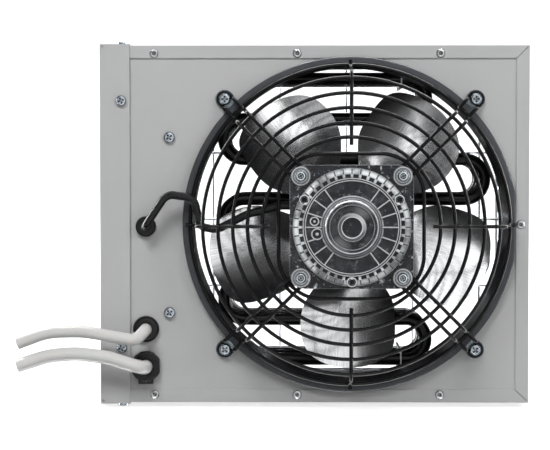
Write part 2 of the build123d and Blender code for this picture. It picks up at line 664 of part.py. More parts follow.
def stator_core():
    """Laminated core: parallel-sided teeth on a back ring, notched for the three cover-screw posts."""
    core = ring(STATOR_IN, STATOR_OUT, STATOR_LOW, STATOR_HIGH)
    slot = make_face(Polyline((25.4, -2.4), (34, -4.8), (34, 4.8), (25.4, 2.4), close=True))
    slot += Pos(24.5, 0) * Rectangle(4, 1.6)
    for i in range(SLOTS):
        turn = Rot(0, 0, 360 / SLOTS * (i + 0.5))
        core -= slab(turn * slot, height(STATOR_HIGH + 1), height(STATOR_LOW - 1))
    return core - rods(cover_post_places(), height(60), height(-5), POST_R + 0.1)


def stator_windings():
    """One racetrack coil round each stator tooth, standing proud of the core at both ends."""
    coils = []
    middle = (STATOR_LOW + STATOR_HIGH) / 2
    length = STATOR_HIGH - STATOR_LOW
    section = RectangleRounded(11.6, length + 7, 2.4) - RectangleRounded(8.5, length + 0.6, 0.4)
    for i in range(SLOTS):
        angle = radians(360 / SLOTS * i)
        frame = Plane(origin=(26.3 * cos(angle), height(middle), 26.3 * sin(angle)),
                      x_dir=(-sin(angle), 0, cos(angle)), z_dir=(cos(angle), 0, sin(angle)))
        coils.append(extrude(frame * section, 6.9))
    return coils


def sleeve_bearing(base):
    """Sintered bronze bush that the shaft runs in."""
    return ring(SHAFT_R + SHAFT_PLAY, BEARING_OUT, base, base + BEARING_WIDTH)


def thrust_washers():
    """Fibre washers on the shaft, between the rotor and each bearing."""
    return [ring(SHAFT_R + SHAFT_PLAY, 6.5, REAR_BEARING + BEARING_WIDTH + 0.1, STATOR_LOW + 0.4),
            ring(SHAFT_R + SHAFT_PLAY, 6.5, FRONT_BEARING - 1.0, FRONT_BEARING - 0.1)]


def motor_shaft():
    shaft = rod(0, 0, height(FRONT_BEARING + BEARING_WIDTH), height(WHEEL_PLANE - 12), SHAFT_R)
    return chamfer(shaft.edges().filter_by(GeomType.CIRCLE), 0.5)


def rotor_core():
    core = ring(SHAFT_R, STATOR_IN - 0.8, STATOR_LOW + 0.5, STATOR_HIGH - 0.5)
    holes = [polar(15, 60 * i) for i in range(6)]
    return core - rods(holes, height(60), height(0), 2.5)


def rotor_spacer():
    """Tube on the shaft that keeps the rotor off the front bearing."""
    return ring(SHAFT_R, 6.0, STATOR_HIGH - 0.5, FRONT_BEARING - 1.1)


# ---------------------------------------------------------------- fan wheel
def fan_hub():
    """Turned boss clamped on the shaft, with a flange that carries the blade wheel."""
    top = MOTOR_BACK - 3.0
    hub = ring(SHAFT_R, HUB_R, WHEEL_PLANE + BLADE_SHEET / 2, top)
    hub += ring(SHAFT_R, 21.0, WHEEL_PLANE + BLADE_SHEET / 2, WHEEL_PLANE + BLADE_SHEET / 2 + 3)
    screw = Plane(origin=(0, height(-6), 0), x_dir=(1, 0, 0), z_dir=(0, 0, 1))
    hub -= extrude(screw * Circle(1.7), HUB_R + 2)
    return hub - rods(hub_rivet_places(), height(5), height(-30), RIVET_HOLE)


def hub_rivet_places():
    return [polar(17.0, 54 + 72 * i) for i in range(BLADES)]


def blade_section(r, chord, pitch, camber):
    """Curved strip across a blade at radius r: pitched about the radius, hollow side to the outlet."""
    a = radians(pitch)
    half = chord / 2

    def at(s, offset):
        sag = camber * (1 - (s / half) ** 2) + offset
        return (s * cos(a) + sag * sin(a), -s * sin(a) + sag * cos(a))

    upper = [at(s, BLADE_SHEET / 2) for s in (-half, 0, half)]
    lower = [at(s, -BLADE_SHEET / 2) for s in (half, 0, -half)]
    top = ThreePointArc(*upper)
    bottom = ThreePointArc(*lower)
    outline = Wire([*top.edges(), Line(upper[-1], lower[0]).edge(), *bottom.edges(),
                    Line(lower[-1], upper[0]).edge()])
    # local x is tangential, local y is height, and the normal is the radius along +X
    frame = Plane(origin=(r, height(WHEEL_PLANE), 0), x_dir=(0, 0, 1), z_dir=(1, 0, 0))
    return frame * make_face(outline)


def blade():
    """One paddle, lofted outwards along +X and trimmed to its rounded outline."""
    stations = [(26, 26, 1.0, 0.1), (40, 48, 17, 1.6), (56, 74, 27, 4.2), (76, 84, 28, 5.6),
                (104, 86, 26, 5.2)]
    body = loft([blade_section(*s) for s in stations])
    root = 24.0
    corners = [(root, -11), (40, -21), (55, -31.5), (74, -34.5), (89, -29.5), (98.6, -16), (BLADE_TIP, 1),
               (99.8, 18), (93, 29.5), (74, 33.5), (55, 31), (40, 21), (root, 11)]
    side = Spline(*corners)
    outline = make_face(Wire([*side.edges(), Line(corners[-1], corners[0]).edge()]))
    return body & slab(outline, height(40), height(-60))


def fan_blades():
    disc_r = WHEEL_DISC_R
    half = BLADE_SHEET / 2
    wheel = ring(SHAFT_R + 0.3, disc_r, WHEEL_PLANE - half, WHEEL_PLANE + half)
    one = blade()
    for angle in BLADE_ANGLES:
        wheel += Rot(0, -angle, 0) * one
    wheel -= disc(SHAFT_R + 0.3, -60, 60)
    return wheel - rods(hub_rivet_places(), height(5), height(-40), RIVET_HOLE)


def hub_rivet(x, z):
    top = WHEEL_PLANE + BLADE_SHEET / 2 + 3
    back = WHEEL_PLANE - BLADE_SHEET / 2
    body = rod(x, z, height(top), height(back), RIVET_SHANK)
    body += rod(x, z, height(top + 1.2), height(top), 2.8)
    return body + rod(x, z, height(back), height(back - 1.2), 2.8)


# ---------------------------------------------------------------- outlet guard
def outlet_guard():
    """Welded grid over the air outlet, in a wire frame."""
    fx, fz = GRID_FRAME
    frame = facing(GRID_Y) * RectangleRounded(2 * fx, 2 * fz, 6)
    guard = tube_along(frame.wire(), GRID_FRAME_WIRE)
    upright_y = GRID_Y - GRID_FRAME_WIRE - GRID_WIRE + 0.35
    across_y = upright_y - 2 * GRID_WIRE + 0.25
    for i in range(-2, 3):
        at = GRID_PITCH * i
        upright = Pos(at, upright_y, 0) * Cylinder(GRID_WIRE, 2 * fz + 1)
        across = Pos(0, across_y, at) * Rot(0, 90, 0) * Cylinder(GRID_WIRE, 2 * fx + 1)
        guard += upright + across
    for sign in (1, -1):
        bar = Pos(0, across_y, sign * (fz - 2)) * Rot(0, 90, 0)
        guard += bar * Cylinder(GRID_WIRE, 2 * fx + 1)
    return guard


def guard_clip(x, sign):
    """Small folded clip, spot-welded inside the outlet flange, that hooks over the grid's frame wire."""
    _, fz = GRID_FRAME
    y1 = -SHEET - GAP / 2
    reach = GRID_FRAME_WIRE + 0.1
    wire_z = sign * fz
    foot = sign * (Z_TOP - SHEET - 1.2)
    low, high = sorted((wire_z + sign * (reach + 0.2), foot))
    clip = block(x - 5, x + 5, y1 - 1.0, y1, low, high)
    low, high = sorted((wire_z + sign * (reach + 0.2), wire_z + sign * (reach + 1.2)))
    back = GRID_Y - reach
    clip += block(x - 5, x + 5, back - 1.0, y1, low, high)
    low, high = sorted((wire_z - sign * 1.4, wire_z + sign * (reach + 1.2)))
    clip += block(x - 5, x + 5, back - 1.0, back, low, high)
    return clip


# ---------------------------------------------------------------- build
def place_fasteners():
    lugs = four_corners(LUG_SCREW, LUG_SCREW)
    save("panel_rivets", [looking(x, Y_FLANGE, z) * pop_rivet(2 * SHEET) for x, z in PANEL_RIVETS])
    screws = [looking(x, Y_FLANGE - SHEET, z) * pan_screw(3.8, 2.6, 2.0, 9, 20) for x, z in COVER_SCREWS]
    for sign in (1, -1):
        place = looking(COVER_SCREWS[0][0], COVER_SIDE_SCREW_Y, sign * (Z_TOP + SHEET), (0, 0, sign))
        screws.append(place * pan_screw(3.8, 2.6, 2.0, 7, 15))
    save("side_cover_screws", screws)
    save("partition_screws", [looking(x, Y_PANEL, z) * pan_screw(4.0, 2.8, 2.0, 7, 35)
                              for x, z in PARTITION_SCREWS])
    nuts = [looking(x, Y_PANEL_BACK + 3.05, z) * hex_nut(3.5, 2.05, 3) for x, z in COVER_SCREWS + lugs]
    nuts += [looking(x, Y_PANEL_BACK + 4.15 + SHEET, z) * hex_nut(3.5, 2.05, 3) for x, z in PARTITION_SCREWS]
    for sign in (1, -1):
        inside = sign * (Z_TOP - SHEET - 3.05)
        place = looking(COVER_SCREWS[0][0], COVER_SIDE_SCREW_Y, inside, (0, 0, sign))
        nuts.append(place * hex_nut(3.5, 2.05, 3))
    save("clinch_nuts", nuts)
    washer_low = 0.05
    thickness = WASHER_TOP - washer_low
    save("guard_washers", [looking(x, height(washer_low), z) * washer(2.1, 6.6, thickness) for x, z in lugs])
    head_seat = WASHER_TOP + GAP + 2 * WIRE
    save("guard_screws", [looking(x, height(head_seat), z) * pan_screw(4.1, 2.8, 2.0, 9, 45 * i)
                          for i, (x, z) in enumerate(lugs)])
    corners = corner_places()
    save("motor_corner_washers", [looking(x, height(46.05), z) * washer(2.1, 4.5, 0.8) for x, z in corners])
    bolt = pan_screw(3.5, 2.2, 2.0, 21.5, 25)
    save("motor_corner_screws", [looking(x, height(46.9), z) * bolt for x, z in corners])
    nut_y = height(JOINT_LOW - 6 - 3.05)
    save("motor_corner_nuts", [looking(x, nut_y, z) * hex_nut(3.5, 2.05, 3) for x, z in corners])
    cover_screw = pan_screw(1.8, 1.2, 1.5, 19, 10)
    seat = height(FACE - 2.95)
    save("motor_cover_screws", [looking(x, seat, z) * cover_screw for x, z in cover_post_places()])


def main():
    os.makedirs("parts", exist_ok=True)
    save("housing_shell", housing_shell())
    save("fan_panel", fan_panel())
    save("side_cover", side_cover())
    save("partition_plate", partition_plate())
    for name, y in zip(("coil_row_front", "coil_row_middle", "coil_row_rear"), ROWS_Y):
        save(name, coil_row(y))
    save("supply_header", header(PASS_BOTTOM, BARB_R, BARB_TIP))
    save("return_header", header(PASS_TOP, 5.0, HEADER_Y[0] - 3.5))
    save("riser_pipe", riser_pipe())
    save("supply_hose", supply_hose())
    save("return_hose", return_hose())
    save("hose_clamps", hose_clamp(SUPPLY_HOLE, SUPPLY_HOSE_R),
         hose_clamp(RETURN_HOLE, RETURN_HOSE_R))
    save("coil_hangers", [coil_hanger(x, sign) for x in HANGER_X for sign in (1, -1)])
    hanger_rivets = []
    for x in HANGER_X:
        for sign in (1, -1):
            place = looking(x + 7, ROWS_Y[1], sign * Z_TOP, (0, 0, sign))
            hanger_rivets.append(place * pop_rivet(2 * SHEET + GAP))
    save("hanger_rivets", hanger_rivets)
    save("return_grommet", grommet(RETURN_HOLE, RETURN_HOLE_R, 9.2, RETURN_HOSE_R + 0.06, 4.5))
    save("cable_grommet", grommet(CABLE_HOLE, CABLE_HOLE_R, 7.2, CABLE_R + 0.06, 4.0))
    save("supply_gland", supply_gland())
    save("gland_nut", gland_nut())
    save("motor_cable", motor_cable())
    save("terminal_block", terminal_block())
    save("power_inlet", power_inlet())
    save("power_inlet_nut", power_inlet_nut())
    save("inlet_wires", inlet_wires())
    save("fan_ring", fan_ring())
    save("fan_guard", fan_guard())
    save("motor_front_cover", motor_front_cover())
    save("motor_rear_housing", motor_rear_housing())
    save("stator_core", stator_core())
    save("stator_windings", stator_windings())
    save("front_bearing", sleeve_bearing(FRONT_BEARING))
    save("rear_bearing", sleeve_bearing(REAR_BEARING))
    save("thrust_washers", thrust_washers())
    save("motor_shaft", motor_shaft())
    save("rotor_core", rotor_core())
    save("rotor_spacer", rotor_spacer())
    save("fan_hub", fan_hub())
    save("fan_blades", fan_blades())
    save("hub_rivets", [hub_rivet(x, z) for x, z in hub_rivet_places()])
    save("outlet_guard", outlet_guard())
    save("outlet_guard_clips", [guard_clip(sx * CLIP_X, sz) for sx in (1, -1) for sz in (1, -1)])
    place_fasteners()


main()
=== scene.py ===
import bmesh
import bpy
import json
import math
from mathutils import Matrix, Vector


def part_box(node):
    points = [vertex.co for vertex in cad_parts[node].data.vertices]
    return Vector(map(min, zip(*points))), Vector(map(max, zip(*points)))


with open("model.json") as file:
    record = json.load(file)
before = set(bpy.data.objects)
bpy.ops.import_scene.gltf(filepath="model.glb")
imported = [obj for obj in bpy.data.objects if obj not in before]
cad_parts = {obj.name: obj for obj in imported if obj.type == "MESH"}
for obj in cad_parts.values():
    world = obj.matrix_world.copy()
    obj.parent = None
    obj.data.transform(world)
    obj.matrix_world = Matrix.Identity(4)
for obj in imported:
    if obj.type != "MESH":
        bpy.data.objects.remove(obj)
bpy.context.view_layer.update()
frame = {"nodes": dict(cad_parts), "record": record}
NODES = frame["nodes"]
MM = 0.001

# ---------------------------------------------------------------- places worked out from the frame
PANEL_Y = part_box("fan_panel")[0].y  # front face of the fan panel
FLOOR_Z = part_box("side_cover_screws")[0].z  # the case stands on its lowest screw heads

# ---------------------------------------------------------------- motor cover, in millimetres
CORNER_SCREW = 34.5  # each way from the fan axis to a corner screw
POST_CIRCLE = 37.0  # radius of the circle that the three cover screws stand on
POST_ANGLES = (30, 150, 270)
LOUVRES = 40.0  # bars round the frosted band
BAND_MIDDLE = 37.6
COVER_FACE = 48.0  # height of the cover's face over the fan panel


# ---------------------------------------------------------------- material nodes
class Graph:
    """A material's node tree, with short calls to add and join nodes."""

    def __init__(self, name):
        self.material = bpy.data.materials.new(name)
        self.material.use_nodes = True
        self.tree = self.material.node_tree
        self.tree.nodes.clear()
        self.place = self.add("ShaderNodeTexCoord").outputs["Object"]

    def add(self, kind, inputs=None, **settings):
        node = self.tree.nodes.new(kind)
        for key, value in settings.items():
            setattr(node, key, value)
        for key, value in (inputs or {}).items():
            self.put(node.inputs[key], value)
        return node

    def put(self, socket, value):
        if isinstance(value, bpy.types.NodeSocket):
            self.tree.links.new(value, socket)
        else:
            socket.default_value = value

    def math(self, operation, a, b=0.0, c=0.0):
        node = self.add("ShaderNodeMath", operation=operation)
        for socket, value in zip(node.inputs, (a, b, c)):
            self.put(socket, value)
        return node.outputs[0]

    def stretched(self, stretch):
        """The object's own coordinates scaled per axis, so that noise becomes streaks."""
        node = self.add("ShaderNodeVectorMath", operation="MULTIPLY")
        self.put(node.inputs[0], self.place)
        node.inputs[1].default_value = stretch
        return node.outputs[0]

    def noise(self, scale, detail=3.0, vector=None, roughness=0.55):
        node = self.add("ShaderNodeTexNoise")
        self.put(node.inputs["Vector"], vector or self.place)
        node.inputs["Scale"].default_value = scale
        node.inputs["Detail"].default_value = detail
        node.inputs["Roughness"].default_value = roughness
        return node.outputs["Fac"]

    def ramp(self, value, low, high, out_low=0.0, out_high=1.0):
        node = self.add("ShaderNodeMapRange", clamp=True)
        keys = ("Value", "From Min", "From Max", "To Min", "To Max")
        for key, number in zip(keys, (value, low, high, out_low, out_high)):
            self.put(node.inputs[key], number)
        return node.outputs["Result"]

    def mix(self, factor, a, b):
        node = self.add("ShaderNodeMix", data_type="RGBA")
        self.put(node.inputs[0], factor)
        self.put(node.inputs[6], a)
        self.put(node.inputs[7], b)
        return node.outputs[2]

    def radius(self):
        """Distance from the fan axis, in metres."""
        parts = self.add("ShaderNodeSeparateXYZ", {0: self.place})
        squares = self.math("MULTIPLY", parts.outputs[0], parts.outputs[0])
        return self.math("SQRT", self.math("MULTIPLY_ADD", parts.outputs[2], parts.outputs[2], squares))

    def away_from(self, x, z, mirrored=False):
        """Distance in the panel's plane from a point, or from its four mirror images."""
        parts = self.add("ShaderNodeSeparateXYZ", {0: self.place})
        squares = 0.0
        for socket, at in ((parts.outputs[0], x), (parts.outputs[2], z)):
            value = self.math("ABSOLUTE", socket) if mirrored else socket
            gap = self.math("SUBTRACT", value, at)
            squares = self.math("MULTIPLY_ADD", gap, gap, squares)
        return self.math("SQRT", squares)

    def angle(self):
        """Angle round the fan axis, in radians."""
        parts = self.add("ShaderNodeSeparateXYZ", {0: self.place})
        return self.math("ARCTAN2", parts.outputs[2], parts.outputs[0])

    def radial_streaks(self, along, across):
        """Noise drawn out along the radius: along and across are its scales in the two directions."""
        place = self.add("ShaderNodeCombineXYZ", {
            0: self.math("MULTIPLY", self.radius(), along), 1: self.math("MULTIPLY", self.angle(), across)})
        return self.noise(1.0, 4.0, place.outputs[0], 0.65)

    def band(self, value, low, high, soft):
        """1 between low and high, falling to 0 over soft on each side."""
        rise = self.ramp(value, low - soft, low)
        fall = self.ramp(value, high, high + soft, 1.0, 0.0)
        return self.math("MULTIPLY", rise, fall)

    def cavity(self, size):
        """1 on open surface, falling to 0 in recesses narrower than size."""
        node = self.add("ShaderNodeAmbientOcclusion", {"Distance": size}, samples=8)
        return self.ramp(node.outputs["AO"], 0.35, 0.95)

    def soft_normal(self, size):
        """Surface direction with sharp edges rounded off to a radius of size."""
        return self.add("ShaderNodeBevel", {"Radius": size}, samples=4).outputs[0]

    def edge_highlight(self, size):
        """0 on open surface, rising towards 1 on a sharp edge: the mask for highlights painted along edges.
        """
        soft = self.soft_normal(size)
        sharp = self.add("ShaderNodeNewGeometry").outputs["Normal"]
        dot = self.add("ShaderNodeVectorMath", {0: soft, 1: sharp}, operation="DOT_PRODUCT")
        return self.ramp(dot.outputs["Value"], 0.97, 0.75)

    def bump(self, value, depth, under=None):
        """Relief of the given depth in metres, on top of another surface direction if there is one."""
        node = self.add("ShaderNodeBump", {"Height": value, "Distance": depth, "Strength": 1.0})
        if under is not None:
            self.put(node.inputs["Normal"], under)
        return node.outputs[0]

    def finish(self, shader):
        self.add("ShaderNodeOutputMaterial", {0: shader})
        return self.material


def shade(color, factor):
    """A colour made darker or lighter, with full alpha."""
    return (color[0] * factor, color[1] * factor, color[2] * factor, 1.0)


def surface(name, color, rough, metallic=0.0, mottle=0.08, mottle_scale=60.0, rough_spread=0.08,
            grain=None, streak=None, edge=None, coat=0.0, specular=0.5, scatter=0.0, recess=0.0):
    """General opaque finish.  grain is (scale, depth) of a bump, streak is a stretch vector for brushed or
    drawn marks, edge is (size, factor) of the highlight painted along sharp edges, lightening or darkening
    them, and recess is the width of the hollows that get painted shade."""
    g = Graph(name)
    cloud = g.noise(mottle_scale, 4.0)
    tone = g.mix(g.ramp(cloud, 0.3, 0.7), shade(color, 1 - mottle), shade(color, 1 + mottle))
    smears = g.noise(mottle_scale * 2.3, 3.0)
    roughness = g.ramp(smears, 0.3, 0.7, rough - rough_spread, rough + rough_spread)
    marks = None
    if streak:
        marks = g.noise(1.0, 5.0, g.stretched(streak), 0.7)
        tone = g.mix(g.ramp(marks, 0.35, 0.65, 0.0, 0.35), tone, shade(color, 0.72))
        roughness = g.math("MULTIPLY_ADD", g.ramp(marks, 0.3, 0.7, -1, 1), rough_spread, roughness)
    normal = None
    if edge:
        size, factor = edge
        normal = g.soft_normal(size)
        # painted highlight along sharp edges: the colour times factor, laid over the edge mask
        tone = g.mix(g.math("MULTIPLY", g.edge_highlight(size), 0.6), tone, shade(color, factor))
    # painted shade: ambient occlusion darkens recesses narrower than recess
    if recess:
        tone = g.mix(g.cavity(recess), shade(color, 0.06), tone)
    if grain:
        scale, depth = grain
        normal = g.bump(g.noise(scale, 2.0), depth, normal)
    if marks is not None:
        normal = g.bump(marks, 0.00002, normal)
    shader = g.add("ShaderNodeBsdfPrincipled", {
        "Base Color": tone, "Roughness": roughness, "Metallic": metallic, "Coat Weight": coat,
        "Specular IOR Level": specular, "Subsurface Weight": scatter})
    if scatter:
        shader.inputs["Subsurface Scale"].default_value = 0.002
    if normal is not None:
        g.put(shader.inputs["Normal"], normal)
    return g.finish(shader.outputs[0])


def clear_plastic(name):
    """Clear moulding over a dark inside: dark open faces, pale edges and ribs painted as highlights, and a
    frosted band.
    """
    g = Graph(name)
    radius = g.radius()
    angle = g.angle()
    over_panel = g.math("SUBTRACT", PANEL_Y, g.add("ShaderNodeSeparateXYZ", {0: g.place}).outputs[1])
    on_face = g.ramp(over_panel, (COVER_FACE - 0.5) * MM, (COVER_FACE + 0.5) * MM)

    def strongest(*levels):
        total = levels[0]
        for level in levels[1:]:
            total = g.math("MAXIMUM", total, level)
        return total

    def line(at, width, level, away=radius):
        low = (at - width / 2) * MM
        high = (at + width / 2) * MM
        return g.math("MULTIPLY", g.band(away, low, high, 0.2 * MM), level)

    def facing(direction, low, high, out_low, out_high):
        """A ramp over how nearly the angle round the axis points in a direction."""
        toward = g.math("COSINE", g.math("SUBTRACT", angle, math.radians(direction)))
        return g.ramp(toward, low, high, out_low, out_high)

    posts = []
    for a in POST_ANGLES:
        x = POST_CIRCLE * MM * math.cos(math.radians(a))
        z = POST_CIRCLE * MM * math.sin(math.radians(a))
        posts.append(g.away_from(x, z))
    corner = g.away_from(CORNER_SCREW * MM, CORNER_SCREW * MM, mirrored=True)
    clear_of_posts = 1.0
    for post in posts:
        clear_of_posts = g.math("MULTIPLY", g.ramp(post, 3.2 * MM, 3.5 * MM), clear_of_posts)
    # painted highlight lines round the corner screws' bosses and round the cover screws' posts
    fittings = strongest(line(5.9, 0.4, 0.62, corner), line(4.9, 0.3, 0.40, corner),
                         *[line(3.1, 0.5, 0.72, post) for post in posts])

    # frosted bars: painted brightest towards the light and with a highlight along their crown, broken up by
    # patches, with bright and dark edges
    wave = g.math("COSINE", g.math("MULTIPLY", angle, LOUVRES))
    toward_light = facing(110, -1.0, 0.7, 0.50, 1.0)
    patches = g.ramp(g.noise(105.0, 4.0), 0.38, 0.56, 0.30, 1.0)
    from_middle = g.math("ABSOLUTE", g.math("SUBTRACT", radius, BAND_MIDDLE * MM))
    # painted highlight along the middle of the band
    crown = g.ramp(from_middle, 0.6 * MM, 2.2 * MM, 1.0, 0.35)
    louvre = g.math("MULTIPLY", g.band(radius, 35.9 * MM, 39.7 * MM, 0.3 * MM), on_face)
    shading = g.math("MULTIPLY", patches, crown)
    louvre = g.math("MULTIPLY", g.math("MULTIPLY", louvre, toward_light), shading)
    louvre = g.math("MULTIPLY", louvre, clear_of_posts)
    bars = g.math("MULTIPLY", g.band(radius, 33.2 * MM, 36.0 * MM, 0.2 * MM), g.ramp(wave, 0.2, 0.8))
    bars = g.math("MULTIPLY", bars, g.math("MULTIPLY", on_face, g.math("MULTIPLY", patches, 0.75)))

    # what stands up from the face inside the band is a rib, a hoop or a plain boss, painted pale as a
    # highlight
    inside_band = g.ramp(radius, 33.3 * MM, 33.5 * MM, 1.0, 0.0)
    raised = g.math("MULTIPLY", g.band(over_panel, 49.4 * MM, 50.3 * MM, 0.2 * MM), inside_band)
    outside_hub = g.ramp(radius, 21.0 * MM, 21.3 * MM)
    raised = g.math("MULTIPLY", g.math("MULTIPLY", raised, outside_hub), 0.55)

    # rings of light on the hub and its nose
    cone = g.math("MULTIPLY", g.band(radius, 18.0 * MM, 20.6 * MM, 0.8 * MM), 0.16)
    hub_rings = ((21.0, 0.6, 0.80), (17.6, 0.7, 0.70), (19.4, 0.4, 0.42), (15.2, 0.4, 0.22))
    hub_lines = strongest(*[line(*ring) for ring in hub_rings])
    sheen_side = facing(50, 0.2, 1.0, 0.12, 0.62)
    nose = g.math("MULTIPLY", g.band(radius, 7.1 * MM, 9.3 * MM, 0.3 * MM), sheen_side)
    nose_lines = strongest(line(7.0, 0.5, 0.95), line(9.5, 0.4, 0.60))
    uneven = g.ramp(g.noise(120.0, 3.0), 0.3, 0.6, 0.7, 1.0)
    hub_patches = g.math("MULTIPLY", strongest(cone, hub_lines, nose, nose_lines), uneven)

    # painted highlights along sharp edges, glints, haze and a soft glare across the hub
    edge = g.math("MULTIPLY", g.edge_highlight(0.55 * MM), 0.80)
    glints = g.ramp(g.noise(230.0, 6.0, roughness=0.72), 0.57, 0.66, 0.0, 0.70)
    glints = g.math("MULTIPLY", glints, g.ramp(radius, 39.8 * MM, 41.0 * MM, 0.16, 1.0))
    haze = g.ramp(g.noise(90.0, 5.0, roughness=0.65), 0.52, 0.70, 0.0, 0.07)
    glare = g.math("COSINE", g.math("MULTIPLY", g.math("SUBTRACT", angle, math.radians(58)), 2.0))
    hub_dish = g.band(radius, 9.8 * MM, 17.2 * MM, 0.6 * MM)
    glare = g.math("MULTIPLY", g.ramp(glare, 0.35, 1.0, 0.0, 0.14), hub_dish)
    pale = strongest(louvre, bars, raised, hub_patches, fittings, edge, glints, haze, glare)
    inside = g.ramp(g.noise(240.0, 4.0), 0.35, 0.65)
    dark = g.mix(inside, (0.003, 0.004, 0.006, 1), (0.017, 0.021, 0.029, 1))
    tone = g.mix(pale, dark, (0.88, 0.91, 0.94, 1))
    # painted shade in recesses narrower than 1.6 mm
    tone = g.mix(g.cavity(1.6 * MM), (0.006, 0.006, 0.007, 1), tone)
    normal = g.bump(g.noise(260.0, 3.0), 0.00010, g.soft_normal(0.5 * MM))
    body = g.add("ShaderNodeBsdfPrincipled", {"Base Color": tone, "Roughness": 0.14, "Coat Weight": 0.2,
                                             "Coat Roughness": 0.04, "IOR": 1.5, "Normal": normal})
    through = g.add("ShaderNodeBsdfTransparent", {"Color": (0.72, 0.76, 0.80, 1)})
    see_through = g.ramp(pale, 0.0, 0.3, 0.15, 0.0)
    both = g.add("ShaderNodeMixShader", {0: see_through, 1: body.outputs[0], 2: through.outputs[0]})
    return g.finish(both.outputs[0])


def brushed_blade(name):
    """Rolled aluminium sheet, brushed along each blade, with faint smudges."""
    g = Graph(name)
    streaks = g.radial_streaks(12.0, 120.0)
    fine = g.radial_streaks(30.0, 420.0)
    smudge = g.noise(28.0, 3.0)
    tone = g.mix(g.ramp(streaks, 0.35, 0.65), (0.58, 0.585, 0.60, 1), (0.84, 0.84, 0.85, 1))
    tone = g.mix(g.ramp(smudge, 0.5, 0.8, 0.0, 0.2), tone, (0.58, 0.59, 0.605, 1))
    rough = g.ramp(fine, 0.3, 0.7, 0.15, 0.21)
    normal = g.bump(g.math("ADD", g.math("MULTIPLY", fine, 0.3), streaks), 0.0000010)
    shader = g.add("ShaderNodeBsdfPrincipled", {"Base Color": tone, "Roughness": rough, "Metallic": 0.92,
                                               "Normal": normal})
    return g.finish(shader.outputs[0])


def corner_zinc(name):
    """Motor corner screws and washers: pale rings painted as highlights round each screw's axis, on dark
    zinc, with painted shade in the recesses.
    """
    g = Graph(name)
    dark = (0.05, 0.06, 0.068)
    light = (0.14, 0.165, 0.18)
    away = g.away_from(CORNER_SCREW * MM, CORNER_SCREW * MM, mirrored=True)
    cloud = g.noise(420.0, 4.0)
    # pale rings painted as highlights round each screw's axis
    highlight_rims = 0.0
    for low, high, soft in ((0.9, 1.35, 0.15), (2.2, 2.8, 0.2), (3.9, 4.3, 0.2)):
        highlight_rims = g.math("MAXIMUM", highlight_rims, g.band(away, low * MM, high * MM, soft * MM))
    highlight_rims = g.math("MULTIPLY", highlight_rims, g.ramp(cloud, 0.3, 0.6, 0.55, 1.0))
    tone = g.mix(g.ramp(cloud, 0.35, 0.65), shade(dark, 1.0), shade(light, 1.0))
    tone = g.mix(highlight_rims, tone, (0.70, 0.75, 0.78, 1))
    # painted shade in recesses narrower than 0.9 mm
    tone = g.mix(g.cavity(0.9 * MM), shade(light, 0.1), tone)
    normal = g.bump(g.noise(1500.0, 2.0), 0.00004, g.soft_normal(0.3 * MM))
    shader = g.add("ShaderNodeBsdfPrincipled", {"Base Color": tone, "Roughness": 0.24, "Metallic": 0.8,
                                               "Normal": normal})
    return g.finish(shader.outputs[0])


def ring_moulding(name):
    """Black inlet ring: a matt slate band on the lip, and a glossy bell and throat inside it."""
    g = Graph(name)
    on_band = g.ramp(g.radius(), 112.4 * MM, 113.2 * MM)
    cloud = g.ramp(g.noise(70.0, 4.0), 0.3, 0.7)
    slate = g.mix(cloud, (0.044, 0.046, 0.052, 1), (0.058, 0.060, 0.067, 1))
    gloss = g.mix(cloud, (0.006, 0.006, 0.007, 1), (0.010, 0.010, 0.012, 1))
    rough = g.ramp(on_band, 0.0, 1.0, 0.30, 0.50)
    normal = g.bump(g.noise(1100.0, 2.0), 0.00002)
    tone = g.mix(on_band, gloss, slate)
    shader = g.add("ShaderNodeBsdfPrincipled", {"Base Color": tone, "Roughness": rough,
                                               "Specular IOR Level": 0.3, "Normal": normal})
    return g.finish(shader.outputs[0])


